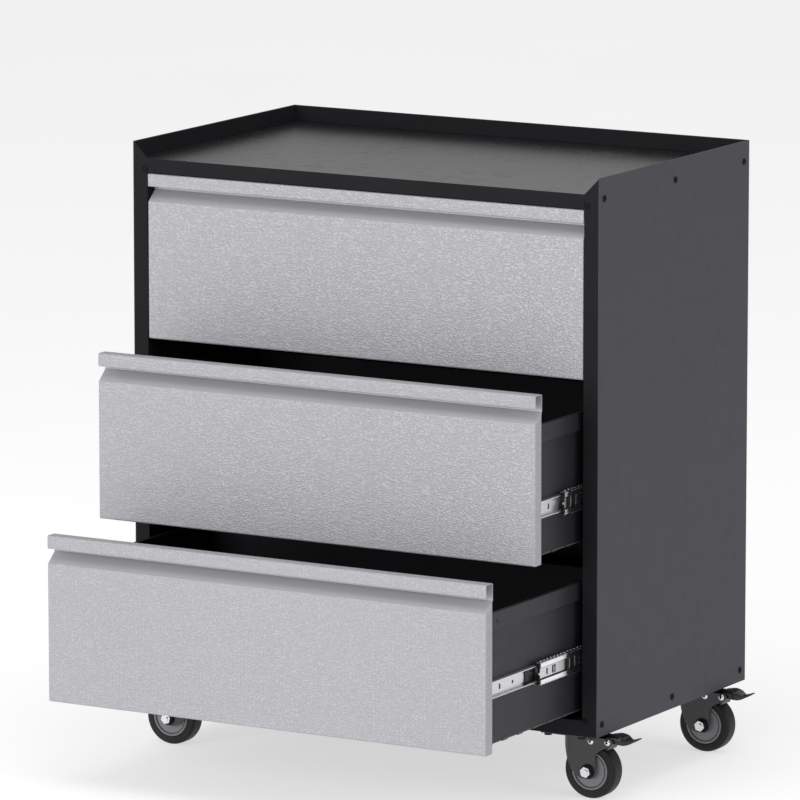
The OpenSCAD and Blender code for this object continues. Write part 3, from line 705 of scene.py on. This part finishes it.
def pedalSheet(bm, pivot):  # a flat grid pressed into the crowned, curled shape
    bmesh.ops.create_grid(bm, x_segments=52, y_segments=30, size=0.5)
    flat, shoulder = pedal["flat"], pedal["shoulder"]
    for v in bm.verts:
        x = pedal["start"] + (v.co.x + 0.5) * pedal["length"]
        across = v.co.y * 2
        wide = pedal["half"] * curve(pedal["plan"], x)
        fold = max(0, (abs(across) - flat) / (1 - flat))
        if fold == 0:
            y = across / flat * wide * shoulder
        else:
            turned = math.sin(math.pi / 2 * min(1, fold * pedal["tuck"]))
            y = math.copysign(wide, across) * (shoulder + (1 - shoulder) * turned)
        z = curve(pedal["top"], x) - curve(pedal["drop"], x) * fold ** pedal["crease"]
        z -= pedal["crown"] * min(1, abs(across) / flat) ** 2
        v.co = pivot + Vector((x, y, z)) * mm
    bmesh.ops.recalc_face_normals(bm, faces=bm.faces)
    bm.faces.ensure_lookup_table()
    if bm.faces[len(bm.faces) // 2].normal.z < 0:
        bmesh.ops.reverse_faces(bm, faces=bm.faces)
    bmesh.ops.solidify(bm, geom=bm.faces[:], thickness=pedal["sheet"] * mm)
    bmesh.ops.recalc_face_normals(bm, faces=bm.faces)
    roundEdges(bm, pedal["edge"] * mm, 2, 60)


def pressedPedal(caster):
    pivot = Vector(jointOf(caster + "_brake")["pos_m"])
    low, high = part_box(caster + "_tyre")
    bm = bmesh.new()
    pedalSheet(bm, pivot)
    half, barrel, bore = pedal["half"], pedal["barrel"], pedal["bore"]
    ring = [(bore, 0.5 - half), (barrel - 0.5, 0.2 - half), (barrel, 0.7 - half)]
    ring += [(barrel, half - 0.7), (barrel - 0.5, half - 0.2), (bore, half - 0.5)]
    spinRing(bm, ring, pivot, (0, 1, 0), 48)
    toWheel = (low + high) / 2 - pivot
    r = pedal["camRadius"]
    reach = toWheel.length / mm - (tyre["radius"] + r + pedal["camGap"])
    turn = math.atan2(toWheel.z, toWheel.x) + math.radians(pedal["camTurn"])
    place = Matrix.Translation(pivot) @ Matrix.Rotation(-turn, 4, "Y")
    root, deep = pedal["camRoot"], pedal["camWide"] / 2
    cam = [(root, -r), (root, r)] + arc((reach, 0), r, 90, -90, 12)
    corners = [place @ Vector((a * mm, -deep * mm, b * mm)) for a, b in cam]
    extrudeFace(bm, corners, (0, 2 * deep * mm, 0))
    bmesh.ops.recalc_face_normals(bm, faces=bm.faces)
    addPiece(caster + "_pedal_pressed", bm, caster + "_brake", "pedal_paint",
             [caster + "_brake_pedal"], 35)


washer = dict(radius=9.8, bore=4.1, thick=1.9, dish=0.5, rim=1.2, seat=0.1)
hollowShade = dict(radius=1.7, face=1.95, deep=0.4, proud=0.25, legAside=4, legAbove=40.8)
race = dict(inner=16.4, outer=18.2, low=3.2, high=6.2, ease=0.6)


def casterTrim(caster):  # dark washer under the nut, black discs of painted shade in the hollow rivets' centres, bright race ring
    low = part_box(caster + "_fork")[0]
    hubLow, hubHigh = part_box(caster + "_hub")
    centre = (hubLow + hubHigh) / 2
    bm = bmesh.new()
    bore, radius, thick = washer["bore"], washer["radius"], washer["thick"]
    ring = [(bore, washer["seat"]), (radius, washer["seat"]), (radius, -washer["rim"])]
    ring += [(radius - washer["dish"], -thick), (bore, -thick)]
    spinRing(bm, ring, Vector((centre.x, low.y, centre.z)), (0, 1, 0), 48)
    if caster.endswith("right"):
        pin = Vector(jointOf(caster + "_brake")["pos_m"])
        leg = centre + Vector((hollowShade["legAside"], 0, hollowShade["legAbove"])) * mm
        wide, deep, proud = hollowShade["radius"], hollowShade["deep"], hollowShade["proud"]
        # a solid black disc in each rivet's centre is painted shade for the shadow inside the rivet's hollow
        ring = [(0.02, deep), (wide, deep), (wide, -0.1), (wide - 0.2, -proud), (0.02, -proud)]
        for rivetAt in (pin, leg):
            spot = Vector((rivetAt.x, low.y - hollowShade["face"] * mm, rivetAt.z))
            spinRing(bm, ring, spot, (0, 1, 0), 24)
    addPiece(caster + "_washer", bm, caster + "_swivel", "screw_black")
    turn = jointOf(caster + "_swivel")["pos_m"]
    axis = Vector((turn[0], turn[1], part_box("base_pan")[0].z))
    bm = bmesh.new()
    inner, outer, ease = race["inner"], race["outer"], race["ease"]
    near, far = race["low"], race["high"]
    ring = [(inner, -far), (outer - ease, -far), (outer, 0.8 - far), (outer, -near - ease)]
    ring += [(outer - ease, -near), (inner, -near)]
    spinRing(bm, ring, axis, (0, 0, 1), 72)
    addPiece(caster + "_race_ring", bm, "cabinet", "bolt_zinc")


forkEdge = 0.7 * mm
axleEdge = 0.45 * mm
for caster in casters:
    roundTyre(caster)
    dishedHub(caster)
    casterTrim(caster)
    finishNode(caster + "_fork", forkEdge, 3)
    finishNode(caster + "_axle", axleEdge, 2)
for caster in ("front_right", "rear_right"):  # only these two have brakes
    pressedPedal(caster)
print("casters finished")

# floor, light and camera
studio = dict(floorSize=30, floorGlow=0.6, worldGlow=0.5, aim=(0, 0, 0.4))
bpy.ops.mesh.primitive_plane_add(size=studio["floorSize"], location=(0, 0, 0))
floor = bpy.context.object
floor.name = "studio_floor"
pale = Paint("pale_floor", {"Roughness": 0.85, "Specular IOR Level": 0.1,
                            "Emission Color": (1, 1, 1, 1),
                            "Emission Strength": studio["floorGlow"]})
pale.colour(pale.window(pale.noise(1.5, 2), 0.2, 0.8), (0.5, 0.5, 0.5), 0.02)
floor.data.materials.append(pale.material)

world = bpy.data.worlds.new("studio_white")
bpy.context.scene.world = world
world.use_nodes = True
background = world.node_tree.nodes["Background"]
background.inputs["Color"].default_value = (1, 1, 1, 1)
background.inputs["Strength"].default_value = studio["worldGlow"]

softboxes = {
    "key_softbox": dict(place=(-1.5, -6.5, 1.9), size=3.6, power=215),
    "side_softbox": dict(place=(6.0, -0.5, 2.6), size=3.5, power=80),
    "top_softbox": dict(place=(0.3, -1.2, 5.0), size=3.0, power=70),
}
for name, box in softboxes.items():
    light = bpy.data.lights.new(name, "AREA")
    light.size = box["size"]
    light.energy = box["power"]
    lamp = bpy.data.objects.new(name, light)
    lamp.location = box["place"]
    toChest = Vector(studio["aim"]) - Vector(box["place"])
    lamp.rotation_euler = toChest.to_track_quat("-Z", "Y").to_euler()
    bpy.context.scene.collection.objects.link(lamp)

view = dict(place=(4.7795, -8.359, 2.1729), down=9.98, turn=30.09, lens=326.1)
cameraData = bpy.data.cameras.new("studio_camera")
cameraData.lens = view["lens"]
cameraData.sensor_width = 36
cameraData.clip_end = 60
camera = bpy.data.objects.new("studio_camera", cameraData)
camera.location = view["place"]
camera.rotation_euler = (math.radians(90 - view["down"]), 0, math.radians(view["turn"]))
bpy.context.scene.collection.objects.link(camera)
bpy.context.scene.camera = camera
bpy.context.scene.view_settings.view_transform = "Standard"
print("studio ready")
